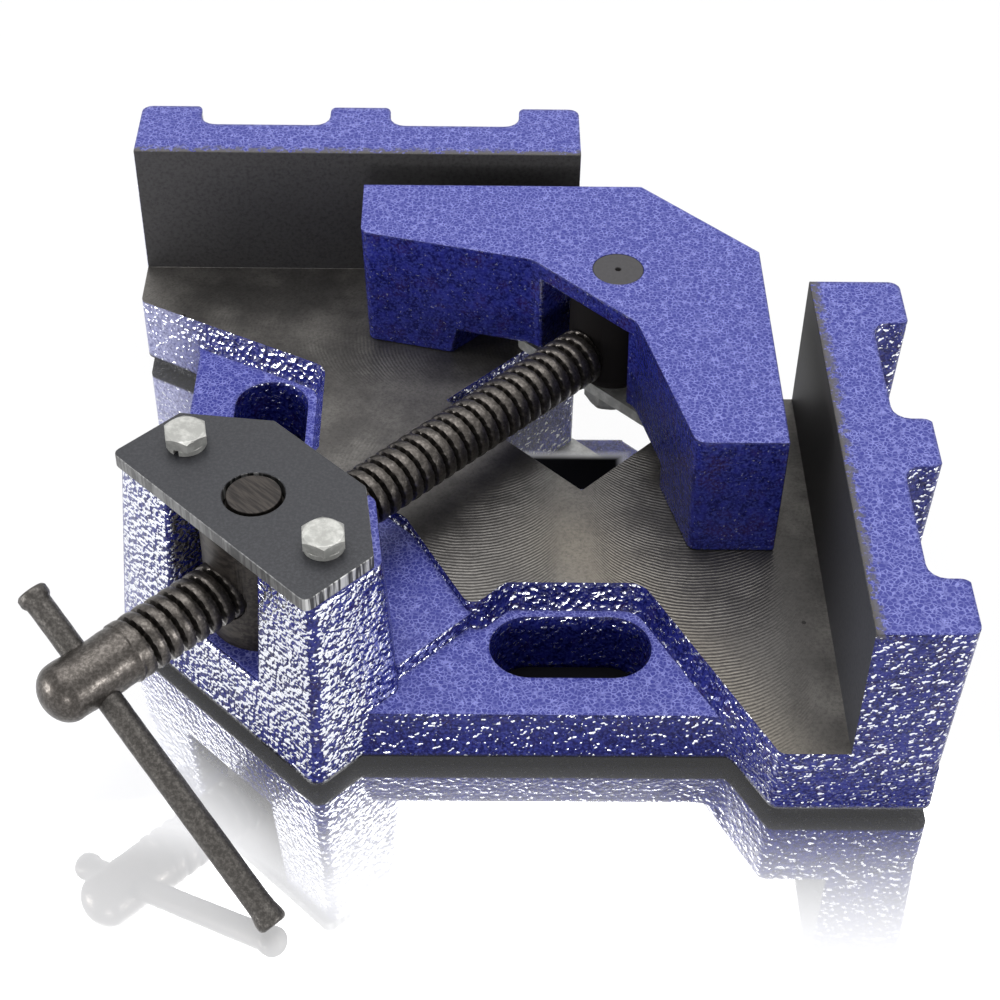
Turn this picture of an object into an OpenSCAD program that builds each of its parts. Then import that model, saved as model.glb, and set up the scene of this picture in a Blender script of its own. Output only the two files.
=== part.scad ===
// Corner clamp: a cast base with two fixed jaws at a right angle, and one
// L-shaped moving jaw that a screw pushes into the corner between them.
// Millimetres. +Z is up and z = 0 is the surface that the clamp stands on.
// The origin is under the axis on which the screw's nut swivels. +X runs along
// the rear fixed jaw, +Y along the right one, and the screw lies on X = Y.

/* [Fixed jaws] */
// Length of each fixed jaw's working face
jaw_len = 131; // [122:1:136]
// Height of the fixed jaws above the deck
jaw_h = 42; // [40:1:48]
// Thickness of a fixed jaw between its ribs
jaw_wall = 14.8; // [12:0.2:17]
// How far a rib stands out from the wall behind it
rib_depth = 9.6; // [8:0.2:12]
// Width of one rib
rib_w = 18; // [14:1:22]
// Ribs on the back of each fixed jaw
rib_count = 3; // [2:1:4]
// How much narrower a fixed jaw is at its foot
rib_lean = 2; // [1:0.5:3]
// Outer corner radius of a rib
rib_r = 3; // [2:0.5:4]
// Fillet radius between two ribs
rib_fillet = 4.5; // [2:0.5:6]
// From the corner of the two faces to the inner end of each fixed jaw
corner_gap = 60; // [56:0.5:64]

/* [Base] */
// Height of the machined deck above the floor
deck_h = 25; // [25:0.5:30]
// Height of the feet under the casting
foot_h = 4; // [3:0.5:6]
// How far the feet lie inside the casting's outline
foot_inset = 6; // [4:0.5:8]
// Width of the deck in front of each jaw's far end
deck_end = 17; // [14:1:20]
// Depth of the deck in front of a jaw, up to the ear
ear_in = 134; // [130:1:135]
// How far from the other face the narrowing of the deck begins
ear_start = 47; // [42:1:49]
// From one face plane to the foot of the opposite ear's outer wall
ear_out = 175; // [172:1:178]
// How much narrower an ear is at its top
ear_lean = 2.5; // [1:0.5:3.5]
// From a jaw's face plane to the notch between its foot and the ear
notch_in = 27.5; // [24:0.5:30]
// Radius of that notch
notch_r = 10; // [6:0.5:12]
// Drop from the deck to the top of an ear
ear_drop = 7.8; // [6:0.2:9]
// Length of the slot through an ear, at the top
ear_slot_len = 42; // [38:1:46]
// Width of the slot through an ear, at the top
ear_slot_w = 21.4; // [18:0.2:23]
// From the opposite face plane to the centre of an ear's slot
ear_slot_out = 149.5; // [149:0.5:152]
// From the near face plane to the centre of an ear's slot
ear_slot_in = 65.9; // [65:0.1:67]
// How much each side of the ear's slot closes towards the bottom
ear_slot_lean = 2.3; // [1:0.1:3]
// Slant of the cast walls round the ears
wall_lean = 3; // [2:0.5:4]
// Width of the slot in the deck, under the moving jaw
deck_slot_w = 52.8; // [50:0.2:56]
// From the corner of the faces to the front end of the deck slot
deck_slot_end = 113.4; // [110:0.2:118]

/* [Screw block] */
// From the corner of the faces to the nut's swivel axis
nut_s = 204; // [202:1:208]
// Height of the block's top above the deck
block_h = 36.5; // [35:0.5:42]
// Width of the block at its top
block_w = 72.8; // [70:0.2:76]
// How far the block reaches in front of the nut's axis, at its top
block_front = 13.8; // [12:0.2:16]
// How far the block reaches behind the nut's axis
block_rear = 22.4; // [20:0.2:24]
// Length of the chamfers of the block's rear corners, along the screw
block_chamfer = 14; // [10:0.5:16]
// Width of the block's rear wall at its top, between the chamfers
block_rear_w = 38; // [37:0.5:44]
// Slant of the block's front, wider at the foot
front_lean = 4.7; // [3:0.1:5]
// Slant of the block's sides, wider at the foot
side_lean = 3.2; // [2:0.1:4]
// Slant of the block's chamfers, wider at the foot
chamfer_lean = 4; // [2:0.5:5]
// Width of the slot that the nut stands in
yoke_w = 33.2; // [32:0.2:35]
// Depth of the yoke's floor below the deck
yoke_drop = 0.8; // [0.5:0.1:2]
// Depth of the cast ledge behind the block, below the deck
ledge_drop = 3; // [2:0.5:4]
// How far the ledge reaches behind the nut's axis, at its sides
ledge_side = 38; // [36:1:40]
// How far the ledge reaches behind the nut's axis, in the middle
ledge_mid = 49; // [46:1:52]

/* [Cover plate] */
// Thickness of the cover plate
plate_t = 4; // [3:0.5:6]
// Width of the cover plate
plate_w = 72; // [69:0.5:74]
// How far the cover plate reaches in front of the nut's axis
plate_front = 15.2; // [13:0.2:17]
// How far the cover plate reaches behind the nut's axis
plate_rear = 21.3; // [19:0.1:23]
// Length of the chamfers of the cover plate's rear corners, along the screw
plate_chamfer = 15; // [12:0.5:16]
// Width of the cover plate's rear edge, between the chamfers
plate_rear_w = 34; // [30:0.5:40]
// Radius of the cover plate's front corners
plate_r = 2; // [1:0.5:3]
// Diameter of the hole round the top of the nut
plate_hole_d = 15.5; // [15:0.5:18]
// Distance between the two cover bolts
bolt_span = 51; // [48:1:54]

/* [Screw and nut] */
// Outer diameter of the screw's thread
screw_d = 16; // [15:0.5:17]
// Height of the screw's axis above the deck
screw_h = 16.2; // [16:0.1:18]
// Diameter of the screw's plain head
head_d = 15.2; // [14:0.2:15.4]
// Where the thread ends and the plain head begins, in front of the nut's axis
head_start = 42.8; // [41:0.2:46]
// Length of the head up to the edge of its dome
head_len = 17.2; // [16.5:0.1:20]
// Height of the dome on the end of the head
dome_h = 6; // [4:0.5:7]
// From the start of the head to the hole for the bar
bar_place = 9.5; // [8:0.5:10.5]
// Diameter of the nut's body
nut_d = 28; // [27:0.5:30]
// Diameter of the nut's upper pin, seen in the cover plate
nut_pin_d = 13.5; // [12:0.1:14]
// Diameter of the nut's lower pin
nut_foot_d = 14; // [12:0.5:16]
// Length of the nut's lower pin
nut_foot_h = 6; // [4:0.5:8]

/* [Tommy bar] */
// Diameter of the bar
bar_d = 6.5; // [6:0.1:7]
// Slope of the bar below the horizontal
bar_slope = 31; // [28:1:34]
// Length of the bar
bar_len = 98; // [96:1:120]
// Diameter of the swaged ends of the bar
bar_end_d = 8; // [7.8:0.1:9]
// Length of each swaged end
bar_end_len = 3.4; // [2:0.2:5]

/* [Moving jaw] */
// Gap between the moving jaw and each fixed jaw
work_gap = 11.6; // [11.4:0.2:16]
// Length of each arm along its working face, from the cut-off corner's apex
arm_len = 111.6; // [108:0.2:114]
// Width of an arm at its end
arm_end_w = 23.5; // [21:0.5:25]
// Cut at the outer corner, measured along each face
corner_cut = 31; // [28:0.5:34]
// Half width of the flat front of the jaw's middle
nose_half = 19.5; // [19:0.5:22]
// How far the nose reaches in front of the pivot axis
nose_out = 13.8; // [13:0.2:16]
// Height of the moving jaw's top above the deck
moving_h = 39.3; // [38:0.1:46]
// How much the moving jaw narrows towards its foot
moving_lean = 1.3; // [0.8:0.1:2]
// Width of the arch under the middle of the jaw
arch_w = 79.2; // [76:0.2:82]
// Height of the arch under the middle of the jaw
arch_h = 9; // [8:0.2:10]
// Width of the pocket that holds the pivot
pocket_w = 32; // [31.2:0.2:34]
// Thickness of the roof over the pocket
roof_t = 6; // [5:0.2:7]

/* [Pivot and keeper] */
// From the corner of the faces to the pivot's axis
pivot_s = 72.8; // [71:0.2:74]
// Diameter of the pivot's body, which holds the end of the screw
pivot_d = 25.4; // [24.4:0.2:30]
// Diameter of the pivot's neck, which stands on the keeper plate
neck_d = 19; // [18.6:0.2:22]
// Height of the pivot's neck
neck_h = 4.4; // [3:0.2:5]
// Diameter of the pivot's upper pin
pivot_pin_d = 14; // [12:0.5:16]
// Diameter of the screw's journal inside the pivot
journal_d = 11.6; // [10:0.2:12]
// How far the journal reaches past the pivot's axis
journal_past = 9; // [8:0.5:9.5]
// Depth of the groove in the journal
groove_depth = 1.6; // [1:0.1:2]
// Diameter of the dowel that sits in the groove
dowel_d = 3; // [2.5:0.1:3.2]
// Thickness of the keeper plate under the pivot
keeper_t = 3.6; // [3:0.2:4.4]
// Width of the keeper plate across the deck slot
keeper_w = 60; // [58:0.5:62]
// How far the keeper plate reaches in front of the pivot axis
keeper_front = 9.4; // [8:0.2:11]
// How far the keeper plate reaches behind the pivot axis
keeper_rear = 16; // [15.5:0.5:20]

/* [Fasteners] */
// Thread diameter of the two cover bolts
cover_bolt_d = 6; // [6:0.5:6.5]
// Width across flats of the cover bolts
cover_bolt_af = 10; // [9:0.5:11]
// Height of the cover bolts' heads
cover_head_h = 3.2; // [3:0.2:5]
// Length of the cover bolts below the head
cover_bolt_len = 22; // [18:1:26]
// Thread diameter of the keeper bolt
keeper_bolt_d = 8; // [6:0.5:8.5]
// Width across flats of the keeper bolt
keeper_bolt_af = 13; // [12:0.5:14]
// Height of the keeper bolt's head
keeper_head_h = 5.3; // [4:0.1:6]
// Thread length of the keeper bolt inside the pivot
keeper_bite = 5.2; // [4:0.2:5.6]
// Thickness of the split washers
washer_t = 1.6; // [1:0.1:2]
// Width of a washer's ring
washer_w = 1.7; // [1.4:0.1:2.4]
// Width of the split in a washer
washer_split = 1.4; // [1:0.1:2]

/* [Fits] */
// Radial clearance of turning and sliding fits
fit = 0.08; // [0.05:0.01:0.1]
// Gap between pieces that pass each other freely
gap = 0.4; // [0.3:0.05:0.5]
// Radial clearance round the cover bolts in the plate
bolt_clear = 0.3; // [0.2:0.1:0.5]

/* [Hidden] */
$fn = 64;

// Overrun of a cut past the face that it opens
over = 1;
// Pieces of an arc at a rounded corner
arc_steps = 4;
root2 = sqrt(2);
root3 = sqrt(3);

// The corner of the two working faces lies this far from the origin on X and Y
corner = nut_s / root2;
jaw_end = corner_gap + jaw_len;
jaw_t = jaw_wall + rib_depth;
// Thickness of the slab under a fixed jaw
slab_t = jaw_t - rib_lean + gap;
jaw_top = deck_h + jaw_h;
ear_top = deck_h - ear_drop;
block_top = deck_h + block_h;
plate_top = block_top + plate_t;
yoke_floor = deck_h - yoke_drop;
screw_z = deck_h + screw_h;
moving_top = deck_h + moving_h;
moving_foot = deck_h + gap;
pocket_roof = moving_top - roof_t;

// Places along the screw: +x runs from the nut's axis towards the corner
pivot_x = nut_s - pivot_s;
head_x = -head_start;
head_end_x = head_x - head_len;
bar_x = head_x - bar_place;
thread_end_x = pivot_x - pivot_d / 2 - gap;
journal_end_x = pivot_x + journal_past;

// The keeper plate hangs just clear of the deck
keeper_z = deck_h + gap;
pivot_z = keeper_z + keeper_t;

// The bar's lower end comes to rest just clear of the floor
bar_down = (screw_z - bar_end_d / 2 * cos(bar_slope) - fit) / sin(bar_slope);

dowel_x = pivot_x + dowel_d;
dowel_y = journal_d / 2 - groove_depth + fit + dowel_d / 2;

paint = [0.24, 0.25, 0.62];
machined = [0.36, 0.34, 0.32];
black_oxide = [0.22, 0.22, 0.24];
zinc = [0.80, 0.80, 0.76];
worn_steel = [0.33, 0.30, 0.28];

// Direction from point a to point b, of length one
function unit(a, b) = (b - a) / norm(b - a);
// The same direction turned a quarter turn to the left, into the outline
function inward(a, b) = let (d = unit(a, b)) [-d[1], d[0]];
function before(list, i) = list[(i + len(list) - 1) % len(list)];
function after(list, i) = list[(i + 1) % len(list)];
function reversed(list) = [for (i = [len(list) - 1:-1:0]) list[i]];

// Moves each side of an anticlockwise outline inwards by its own distance;
// side i runs from point i to the next
function inset_by(pts, by) = [
    for (i = [0:len(pts) - 1])
        let (
            n1 = inward(before(pts, i), pts[i]),
            n2 = inward(pts[i], after(pts, i)),
            d1 = before(by, i),
            d2 = by[i],
            dot = n1 * n2,
            rest = 1 - dot * dot
        )
        pts[i] + (d1 - d2 * dot) / rest * n1 + (d2 - d1 * dot) / rest * n2
];

// Arc that rounds the corner at p, between the points before and after it
function corner_arc(p0, p, p1, r) = r == 0 ? [p] :
    let (
        a = unit(p, p0),
        b = unit(p, p1),
        half = acos(a * b) / 2,
        centre = p + (a + b) / norm(a + b) * r / sin(half),
        from = p + a * r / tan(half) - centre,
        to = p + b * r / tan(half) - centre,
        start = atan2(from[1], from[0]),
        turn = (atan2(to[1], to[0]) - start + 540) % 360 - 180
    )
    [for (k = [0:arc_steps]) centre + r * [cos(start + turn * k / arc_steps),
        sin(start + turn * k / arc_steps)]];

function rounded(pts, radii) = [
    for (i = [0:len(pts) - 1]) each corner_arc(before(pts, i), pts[i], after(pts, i), radii[i])
];

function midway(pts, ends) = (pts[ends[0]] + pts[ends[1]]) / 2;
function at_height(p, z) = [p[0], p[1], z];

// Solid from z0 to z1 whose top is the rounded outline; each side leans
// inwards by its own distance at the foot. The two ends are fans of triangles
// about the point midway between two corners, from which all sides are in sight
module drafted(pts, radii, lean, z0, z1, hub) {
    low = inset_by(pts, lean);
    top = rounded(pts, radii);
    foot = rounded(low, radii);
    n = len(top);
    polyhedron(
        points = concat(
            [for (p = foot) at_height(p, z0)],
            [for (p = top) at_height(p, z1)],
            [at_height(midway(low, hub), z0), at_height(midway(pts, hub), z1)]
        ),
        faces = concat(
            [for (i = [0:n - 1]) [i, n + i, n + (i + 1) % n, (i + 1) % n]],
            [for (i = [0:n - 1]) [i, (i + 1) % n, 2 * n]],
            [for (i = [0:n - 1]) [n + (i + 1) % n, n + i, 2 * n + 1]]
        )
    );
}

module prism(pts, radii, z0, z1) {
    translate([0, 0, z0]) linear_extrude(z1 - z0) polygon(rounded(pts, radii));
}

// Point in the frame from its distances u and v to the corner of the faces
function uv(u, v) = [corner + u, corner + v];
// Point in the frame from its place along and across the screw
function along(x, y) = [(x - y) / root2, (x + y) / root2];

module screw_frame() {
    rotate([0, 0, 45]) children();
}

// Half outlines run from the corner of the jaws to the screw block, on the
// right of the screw; the other half is their mirror image
function whole(half) = concat(reversed(half), [for (p = half) [p[1], p[0]]]);
function whole_radii(radii) = concat(reversed(radii), radii);
// Leans of the sides of a half outline, and of the side that closes it in front
function whole_lean(sides, front) = concat(reversed(sides), [0], sides, [front]);

slot_edge = deck_slot_w / root2 - corner_gap;
block_half = block_w / 2;
// Outer edge of an ear at its top
ear_edge = ear_out - ear_lean;
// Where an ear's outer edge meets the block's side
ear_at_block = block_half * root2 - ear_edge;

base_half = [
    uv(slot_edge, -corner_gap),
    uv(slab_t, -corner_gap),
    uv(slab_t, -jaw_end),
    uv(-deck_end, -jaw_end),
    uv(-notch_in, -ear_edge),
    uv(ear_at_block, -ear_edge),
    along(-block_front, -block_half)
];
base_radii = [0, 0, rib_r, rib_r, notch_r, 0, 0];

deck_half = [
    uv(slot_edge, -corner_gap),
    uv(jaw_wall / 2, -corner_gap),
    uv(jaw_wall / 2, -jaw_end),
    uv(-deck_end, -jaw_end),
    uv(-ear_start, -ear_in),
    uv(block_half * root2 - ear_in, -ear_in),
    along(ledge_side, -block_half),
    along(ledge_mid, -over)
];
deck_radii = [0, 0, 0, 0, rib_r * 2, rib_r, rib_r, 0];
// Only the walls round the ear slant
deck_lean = [0, 0, 0, -wall_lean, -wall_lean, -wall_lean, 0];

block_pts = [
    [-block_front, -block_half],
    [block_rear - block_chamfer, -block_half],
    [block_rear, -block_rear_w / 2],
    [block_rear, block_rear_w / 2],
    [block_rear - block_chamfer, block_half],
    [-block_front, block_half]
];
block_lean = [-side_lean, -chamfer_lean, 0, -chamfer_lean, -side_lean, -front_lean];

// The ledge runs on under the deck's front edge
ledge_half = block_half - gap;
ledge_pts = [
    [0, -ledge_half],
    [ledge_side + over, -ledge_half],
    [ledge_mid + over, -over],
    [ledge_mid + over, over],
    [ledge_side + over, ledge_half],
    [0, ledge_half]
];

// The right fixed jaw and the hollows between the ribs on its back
jaw_pts = [
    uv(0, -corner_gap),
    uv(0, -jaw_end),
    uv(jaw_t, -jaw_end),
    uv(jaw_t, -corner_gap)
];
rib_pitch = (jaw_len - rib_w) / (rib_count - 1);
// The mouth of a hollow flares over this width, to round the ribs beside it
mouth = rib_r + over;

module rib_hollow(i, low, high) {
    v0 = i * rib_pitch + rib_w - jaw_end;
    v1 = (i + 1) * rib_pitch - jaw_end;
    drafted(
        [
            uv(jaw_wall, v1),
            uv(jaw_wall, v0),
            uv(jaw_t, v0),
            uv(jaw_t + over, v0 - mouth),
            uv(jaw_t + over, v1 + mouth),
            uv(jaw_t, v1)
        ],
        [rib_fillet, rib_fillet, rib_r, 0, 0, rib_r],
        [-rib_lean, 0, -rib_lean, rib_lean, -rib_lean, 0],
        low, high, [2, 5]
    );
}

module fixed_jaw() {
    low = ear_top - over;
    difference() {
        drafted(jaw_pts, [0, 0, rib_r, rib_r], [0, 0, rib_lean, 0], low, jaw_top, [0, 2]);
        for (i = [0:rib_count - 2]) rib_hollow(i, low - over, jaw_top + over);
    }
}

// Outer wall of the right ear, which leans outwards to its foot; its ends and
// its back lie inside the casting
module ear_skirt() {
    v = gap - ear_edge;
    end = rib_w / 2;
    drafted(
        [
            uv(ear_at_block - end, v),
            uv(end - notch_in, v),
            uv(end - notch_in, -ear_in),
            uv(ear_at_block - end, -ear_in)
        ],
        [0, 0, 0, 0],
        [-ear_lean - gap, 0, 0, 0],
        foot_h, ear_top - gap, [0, 2]
    );
}

// Tapered slot through the right ear
module ear_slot() {
    half_w = ear_slot_w / 2;
    half_c = ear_slot_len / 2 - half_w;
    low = -over;
    high = ear_top + over;
    at = uv(-ear_slot_in, -ear_slot_out);
    for (side = [-1, 1])
        translate([at[0] + side * half_c, at[1], low])
            cylinder(h = high - low, r1 = half_w - ear_slot_lean, r2 = half_w);
    drafted(
        [
            at + [-half_c, -half_w],
            at + [half_c, -half_w],
            at + [half_c, half_w],
            at + [-half_c, half_w]
        ],
        [0, 0, 0, 0],
        [ear_slot_lean, 0, ear_slot_lean, 0],
        low, high, [0, 2]
    );
}

module both_sides() {
    children();
    mirror([1, -1, 0]) children();
}

// The two cover bolts stand on a line across the screw
module at_bolts() {
    for (side = [-1, 1]) translate([0, side * bolt_span / 2, 0]) children();
}

module base_body() {
    outline = whole(base_half);
    radii = whole_radii(base_radii);
    prism(
        inset_by(outline, [for (p = outline) foot_inset]),
        [for (p = outline) 0],
        0, foot_h + over
    );
    prism(outline, radii, foot_h, ear_top);
    intersection() {
        drafted(whole(deck_half), whole_radii(deck_radii), whole_lean(deck_lean, 0),
            ear_top - over, deck_h, [6, 13]);
        prism(outline, radii, foot_h, deck_h + over);
    }
    screw_frame() {
        prism(ledge_pts, [for (p = ledge_pts) 0], ear_top - over, deck_h - ledge_drop);
        drafted(block_pts, [for (p = block_pts) rib_r], block_lean, foot_h - gap,
            block_top, [0, 3]);
    }
    both_sides() {
        fixed_jaw();
        ear_skirt();
    }
}

module base_casting() {
    color(paint) difference() {
        base_body();
        screw_frame() {
            // Slot in the deck under the moving jaw, open at the corner
            translate([nut_s - deck_slot_end, -deck_slot_w / 2, -over])
                cube([deck_slot_end, deck_slot_w, deck_h + 2 * over]);
            // Yoke for the nut
            translate([-block_front - front_lean - over, -yoke_w / 2, yoke_floor])
                cube([block_front + front_lean + block_rear + 2 * over, yoke_w,
                    block_top - yoke_floor + over]);
            translate([0, 0, yoke_floor - nut_foot_h - gap])
                cylinder(h = nut_foot_h + gap + over, r = nut_foot_d / 2 + fit);
            at_bolts()
                translate([0, 0, plate_top + washer_t - cover_bolt_len - gap])
                    cylinder(h = cover_bolt_len, r = cover_bolt_d / 2 + fit);
        }
        both_sides() ear_slot();
    }
}

module cover_plate() {
    half = plate_w / 2;
    pts = [
        [-plate_front, -half],
        [plate_rear - plate_chamfer, -half],
        [plate_rear, -plate_rear_w / 2],
        [plate_rear, plate_rear_w / 2],
        [plate_rear - plate_chamfer, half],
        [-plate_front, half]
    ];
    color(black_oxide) screw_frame() difference() {
        prism(pts, [plate_r, 0, 0, 0, 0, plate_r], block_top, plate_top);
        translate([0, 0, block_top - over])
            cylinder(h = plate_t + 2 * over, r = plate_hole_d / 2);
        at_bolts()
            translate([0, 0, block_top - over])
                cylinder(h = plate_t + 2 * over, r = cover_bolt_d / 2 + bolt_clear);
    }
}

// Hexagon head bolt, standing with the underside of its head at z = 0
module hex_bolt(d, af, head_h, length) {
    corner_r = af / root3;
    face_r = af / 2 - gap / 2;
    drop = (corner_r - face_r) / root3;
    translate([0, 0, -length]) cylinder(h = length + over, r = d / 2);
    intersection() {
        cylinder(h = head_h, r = corner_r, $fn = 6);
        rotate_extrude() polygon([
            [0, 0],
            [corner_r + over, 0],
            [corner_r + over, head_h - drop - over / root3],
            [face_r, head_h],
            [0, head_h]
        ]);
    }
}

// Split lock washer, lying on z = 0
module split_washer(d) {
    inner = d / 2 + bolt_clear;
    difference() {
        cylinder(h = washer_t, r = inner + washer_w);
        translate([0, 0, -over]) cylinder(h = washer_t + 2 * over, r = inner);
        translate([0, -washer_split / 2, -over])
            cube([inner + washer_w + over, washer_split, washer_t + 2 * over]);
    }
}

module cover_bolt(side, turn) {
    color(zinc) screw_frame()
        translate([0, side * bolt_span / 2, plate_top + washer_t])
            rotate([0, 0, turn])
                hex_bolt(cover_bolt_d, cover_bolt_af, cover_head_h, cover_bolt_len);
}

module cover_washer(side, turn) {
    color(zinc) screw_frame()
        translate([0, side * bolt_span / 2, plate_top])
            rotate([0, 0, turn]) split_washer(cover_bolt_d);
}

module cover_bolt_left() {
    cover_bolt(1, -5);
}

module cover_bolt_right() {
    cover_bolt(-1, -10);
}

module cover_washer_left() {
    cover_washer(1, 200);
}

module cover_washer_right() {
    cover_washer(-1, 150);
}

module swivel_nut() {
    body_z = yoke_floor + fit;
    color(worn_steel) screw_frame() difference() {
        union() {
            translate([0, 0, body_z]) cylinder(h = block_top - gap - body_z, r = nut_d / 2);
            translate([0, 0, body_z - nut_foot_h])
                cylinder(h = nut_foot_h + over, r = nut_foot_d / 2);
            translate([0, 0, block_top - gap - over])
                cylinder(h = plate_t + gap + over, r = nut_pin_d / 2);
        }
        translate([-nut_d, 0, screw_z]) rotate([0, 90, 0])
            cylinder(h = 2 * nut_d, r = screw_d / 2 + fit);
    }
}

// Screw, turned about its own axis; each pair is a radius and a place along it
dome_steps = 6;
journal_r = journal_d / 2;
groove_half = dowel_d / 2 + fit;
spindle_profile = concat(
    [for (k = [0:dome_steps]) let (a = 90 * k / dome_steps)
        [head_d / 2 * sin(a), head_end_x - dome_h * cos(a)]],
    [
        [head_d / 2, head_x],
        [screw_d / 2 - gap, head_x],
        [screw_d / 2, head_x + gap],
        [screw_d / 2, thread_end_x - over],
        [screw_d / 2 - over, thread_end_x],
        [journal_r, thread_end_x],
        [journal_r, dowel_x - groove_half],
        [journal_r - groove_depth, dowel_x - groove_half],
        [journal_r - groove_depth, dowel_x + groove_half],
        [journal_r, dowel_x + groove_half],
        [journal_r, journal_end_x - over],
        [journal_r - over, journal_end_x],
        [0, journal_end_x]
    ]
);

// Places children so that +z points down the bar, with z = 0 on the screw
module bar_frame() {
    screw_frame() translate([bar_x, 0, screw_z]) rotate([90 + bar_slope, 0, 0]) children();
}

module spindle() {
    color(worn_steel) difference() {
        screw_frame() translate([0, 0, screw_z]) rotate([0, 90, 0])
            rotate_extrude() polygon(spindle_profile);
        bar_frame() translate([0, 0, -screw_d])
            cylinder(h = 2 * screw_d, r = bar_d / 2 + fit);
    }
}

module tommy_bar() {
    low = bar_down - bar_len;
    bar_r = bar_d / 2;
    end_r = bar_end_d / 2;
    color(worn_steel) bar_frame() rotate_extrude() polygon([
        [0, low],
        [end_r - over / 2, low],
        [end_r, low + over / 2],
        [end_r, low + bar_end_len - over],
        [bar_r, low + bar_end_len],
        [bar_r, bar_down - bar_end_len],
        [end_r, bar_down - bar_end_len + over],
        [end_r, bar_down - over],
        [bar_r, bar_down - over / 2],
        [bar_r - over, bar_down],
        [0, bar_down]
    ]);
}

module at_pivot() {
    screw_frame() translate([pivot_x, 0, 0]) children();
}

module pivot_pin() {
    body_z = pivot_z + neck_h;
    shoulder = pocket_roof - gap;
    dowel_top = screw_z + journal_r + gap;
    color(worn_steel) at_pivot() difference() {
        union() {
            translate([0, 0, pivot_z]) cylinder(h = neck_h + over, r = neck_d / 2);
            translate([0, 0, body_z]) cylinder(h = shoulder - body_z, r = pivot_d / 2);
            translate([0, 0, shoulder - over])
                cylinder(h = moving_top - shoulder + over, r = pivot_pin_d / 2);
        }
        translate([-pivot_d, 0, screw_z]) rotate([0, 90, 0])
            cylinder(h = pivot_d + journal_past + gap, r = journal_r + fit);
        translate([dowel_x - pivot_x, dowel_y, pivot_z - over])
            cylinder(h = dowel_top - pivot_z + over, r = dowel_d / 2 + fit);
        translate([0, 0, pivot_z - over])
            cylinder(h = keeper_bite + gap + over, r = keeper_bolt_d / 2 + fit);
        // Centre mark left by turning
        translate([0, 0, moving_top - over]) cylinder(h = 2 * over, r1 = 0, r2 = 2 * over);
    }
}

module journal_dowel() {
    color(worn_steel) at_pivot()
        translate([dowel_x - pivot_x, dowel_y, pivot_z])
            cylinder(h = screw_z + journal_r - pivot_z, r = dowel_d / 2);
}

module keeper_plate() {
    pts = [
        [-keeper_front, -keeper_w / 2],
        [keeper_rear, -keeper_w / 2],
        [keeper_rear, keeper_w / 2],
        [-keeper_front, keeper_w / 2]
    ];
    color(zinc) at_pivot() difference() {
        prism(pts, [for (p = pts) rib_r], keeper_z, pivot_z);
        translate([0, 0, keeper_z - over])
            cylinder(h = keeper_t + 2 * over, r = keeper_bolt_d / 2 + bolt_clear);
    }
}

module keeper_washer() {
    color(zinc) at_pivot() translate([0, 0, keeper_z - washer_t])
        rotate([0, 0, 120]) split_washer(keeper_bolt_d);
}

module keeper_bolt() {
    color(zinc) at_pivot() translate([0, 0, keeper_z - washer_t]) rotate([180, 0, 15])
        hex_bolt(keeper_bolt_d, keeper_bolt_af, keeper_head_h,
            washer_t + keeper_t + keeper_bite);
}

moving_half = [
    uv(-work_gap, -work_gap - corner_cut),
    uv(-work_gap, -work_gap - arm_len),
    uv(-work_gap - arm_end_w, -work_gap - arm_len),
    along(pivot_x - nose_out, -nose_half)
];
moving_radii = [0, 0, rib_r, rib_r * 2];

module moving_jaw() {
    front = nose_out + moving_lean + over;
    color(paint) difference() {
        drafted(whole(moving_half), whole_radii(moving_radii),
            whole_lean([0, moving_lean, moving_lean], moving_lean), moving_foot, moving_top,
            [3, 7]);
        at_pivot() {
            // Arch over the deck slot
            translate([-front - arch_w, -arch_w / 2, moving_foot - over])
                cube([front + arch_w + pivot_s, arch_w, arch_h - gap + over]);
            // Pocket for the pivot, open in front and below
            translate([-front, -pocket_w / 2, moving_foot - over])
                cube([front, pocket_w, pocket_roof - moving_foot + over]);
            translate([0, 0, moving_foot - over])
                cylinder(h = pocket_roof - moving_foot + over, r = pocket_w / 2);
            translate([0, 0, pocket_roof - over])
                cylinder(h = roof_t + 2 * over, r = pivot_pin_d / 2 + fit);
        }
    }
}

base_casting();
cover_plate();
cover_washer_left();
cover_washer_right();
cover_bolt_left();
cover_bolt_right();
swivel_nut();
spindle();
tommy_bar();
pivot_pin();
journal_dowel();
keeper_plate();
keeper_washer();
keeper_bolt();
moving_jaw();
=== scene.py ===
# %% [markdown]
# # Dressing a cast corner clamp
#
# The clamp comes as solids in metres, each riding on the body that carries it.
# This script keeps every size and place and adds what a camera sees: cast
# edges, hammered enamel, milled iron, a real thread and worn steel. Each
# piece's place is in its mesh, so its object stays at the origin.

# %% Load the clamp
import math

import bmesh
import bpy
import numpy as np
from mathutils import Matrix, Vector


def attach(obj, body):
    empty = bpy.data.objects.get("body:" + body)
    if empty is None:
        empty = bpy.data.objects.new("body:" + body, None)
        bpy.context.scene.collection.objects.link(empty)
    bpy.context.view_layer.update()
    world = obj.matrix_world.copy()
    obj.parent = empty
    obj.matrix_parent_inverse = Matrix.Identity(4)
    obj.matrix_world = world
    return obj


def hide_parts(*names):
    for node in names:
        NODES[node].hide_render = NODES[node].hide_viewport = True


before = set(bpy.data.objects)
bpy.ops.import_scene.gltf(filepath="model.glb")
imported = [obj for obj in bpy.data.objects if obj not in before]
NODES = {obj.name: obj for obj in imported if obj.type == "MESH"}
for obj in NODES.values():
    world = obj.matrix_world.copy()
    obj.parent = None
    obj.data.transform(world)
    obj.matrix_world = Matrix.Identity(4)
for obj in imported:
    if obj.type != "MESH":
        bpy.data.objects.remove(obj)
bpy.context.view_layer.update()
print("solids loaded:", len(NODES))

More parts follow.
